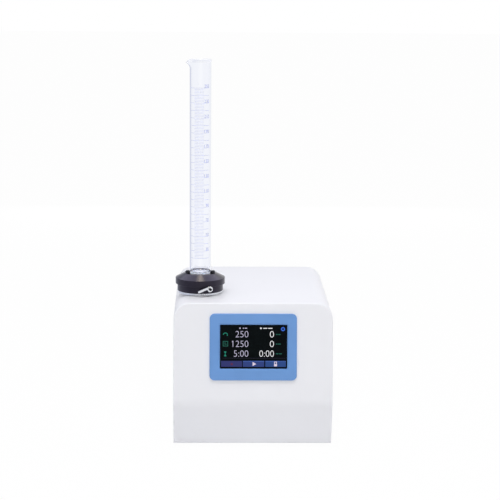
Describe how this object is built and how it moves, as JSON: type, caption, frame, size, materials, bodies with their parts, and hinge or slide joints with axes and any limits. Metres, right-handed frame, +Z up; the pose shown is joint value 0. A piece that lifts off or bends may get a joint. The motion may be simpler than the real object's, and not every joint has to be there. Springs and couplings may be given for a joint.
{
  "type": "tapped density tester",
  "caption": "Benchtop tapped density tester with a sloping touch screen and one tapping station, which lifts and drops a graduated glass measuring cylinder in a clamp holder.",
  "frame": {"origin": "on the bench under the middle of the housing", "axes": "+X to the right of the screen, +Y to the back, +Z up"},
  "size_m": [0.256, 0.34, 0.616],
  "materials": {
    "white_housing": "smooth moulded, satin",
    "blue_bezel": "satin moulded",
    "screen_glass": "dark cover glass over a lit display",
    "plate_steel": "zinc plated sheet",
    "grey_panel": "fine powder coat",
    "rubber_black": "matt rubber",
    "screw_steel": "zinc plated",
    "circuit_green": "solder resist",
    "black_plastic": "fine spark-eroded grain",
    "machined_aluminium": "milled",
    "bearing_bronze": "turned bronze",
    "hard_steel": "ground and hardened",
    "motor_grey": "painted can",
    "platform_metal": "turned stainless steel",
    "black_anodised": "turned, black anodised, satin",
    "black_steel": "black oxide",
    "pad_white": "pale elastomer",
    "clear_glass": "clear borosilicate, blue enamel scale",
    "bright_chrome": "polished",
    "cable_grey": "cable sheath"
  },
  "bodies": {
    "body": {"housing": "white_housing", "base_plate": "plate_steel", "rear_panel": "grey_panel", "rubber_feet": "rubber_black", "foot_screws": "screw_steel", "base_screws": "screw_steel", "panel_screws": "screw_steel", "display_bezel": "blue_bezel", "touch_glass": "screen_glass", "display_gasket": "rubber_black", "lcd_module": "black_plastic", "display_board": "circuit_green", "display_screws": "screw_steel", "control_board": "circuit_green", "board_spacers": "bearing_bronze", "board_screws": "screw_steel", "power_supply": "machined_aluminium", "display_cable": "cable_grey", "motor_cable": "cable_grey", "mains_lead": "cable_grey", "anvil_block": "machined_aluminium", "bearing_plate_left": "machined_aluminium", "bearing_plate_right": "machined_aluminium", "frame_bolts": "black_steel", "camshaft_bushes": "bearing_bronze", "guide_bush": "bearing_bronze", "landing_ring": "hard_steel", "spindle_seal": "rubber_black", "gear_motor": "motor_grey", "motor_bracket": "plate_steel", "motor_screws": "screw_steel", "bracket_screws": "screw_steel", "tap_sensor": "black_plastic", "power_inlet": "black_plastic", "switch_frame": "black_plastic", "data_socket": "screw_steel"},
    "cam_drive": {"camshaft": "hard_steel", "drop_cam": "hard_steel", "sensor_disc": "plate_steel", "shaft_coupling": "machined_aluminium", "motor_shaft": "hard_steel"},
    "spindle": {"lift_spindle": "hard_steel", "spindle_key": "hard_steel", "landing_collar": "hard_steel", "roller_pin": "hard_steel", "tapping_platform": "platform_metal", "platform_screw": "black_steel"},
    "follower": {"follower_roller": "hard_steel"},
    "holder": {"holder_base": "black_anodised", "clamp_ring": "black_anodised", "tube_seal": "rubber_black", "clamp_screws": "black_steel", "foot_pad": "pad_white", "measuring_cylinder": "clear_glass"},
    "lever": {"lock_lever": "bright_chrome", "lever_shaft": "screw_steel", "lever_screw": "black_steel"},
    "rocker": {"switch_rocker": "black_plastic"},
    "fuse": {"fuse_drawer": "black_plastic"}
  },
  "joints": [
    {"name": "cam_turn", "type": "hinge", "parent": "body", "child": "cam_drive", "pos_m": [-0.086, -0.0555, 0.09], "axis": [1, 0, 0], "range_deg": [0, 330]},
    {"name": "spindle_lift", "type": "slide", "parent": "body", "child": "spindle", "axis": [0, 0, 1], "range_m": [0, 0.003]},
    {"name": "roller_spin", "type": "hinge", "parent": "spindle", "child": "follower", "pos_m": [-0.086, -0.0555, 0.11915], "axis": [1, 0, 0], "continuous": true},
    {"name": "holder_lift", "type": "slide", "parent": "spindle", "child": "holder", "axis": [0, 0, 1], "range_m": [0, 0.08]},
    {"name": "lever_swing", "type": "hinge", "parent": "holder", "child": "lever", "pos_m": [-0.07057, -0.0937, 0.2449], "axis": [-0.3746, 0.9272, 0], "range_deg": [0, 90]},
    {"name": "switch_tilt", "type": "hinge", "parent": "body", "child": "rocker", "pos_m": [0.03, 0.162, 0.068], "axis": [1, 0, 0], "range_deg": [0, 16]},
    {"name": "fuse_pull", "type": "slide", "parent": "body", "child": "fuse", "axis": [0, 1, 0], "range_m": [0, 0.015]}
  ],
  "couplings": [
    {"joint": "cam_turn", "follows": "spindle_lift", "rad_per_m": 1919.9},
    {"joint": "roller_spin", "follows": "spindle_lift", "rad_per_m": -4586.3}
  ]
}
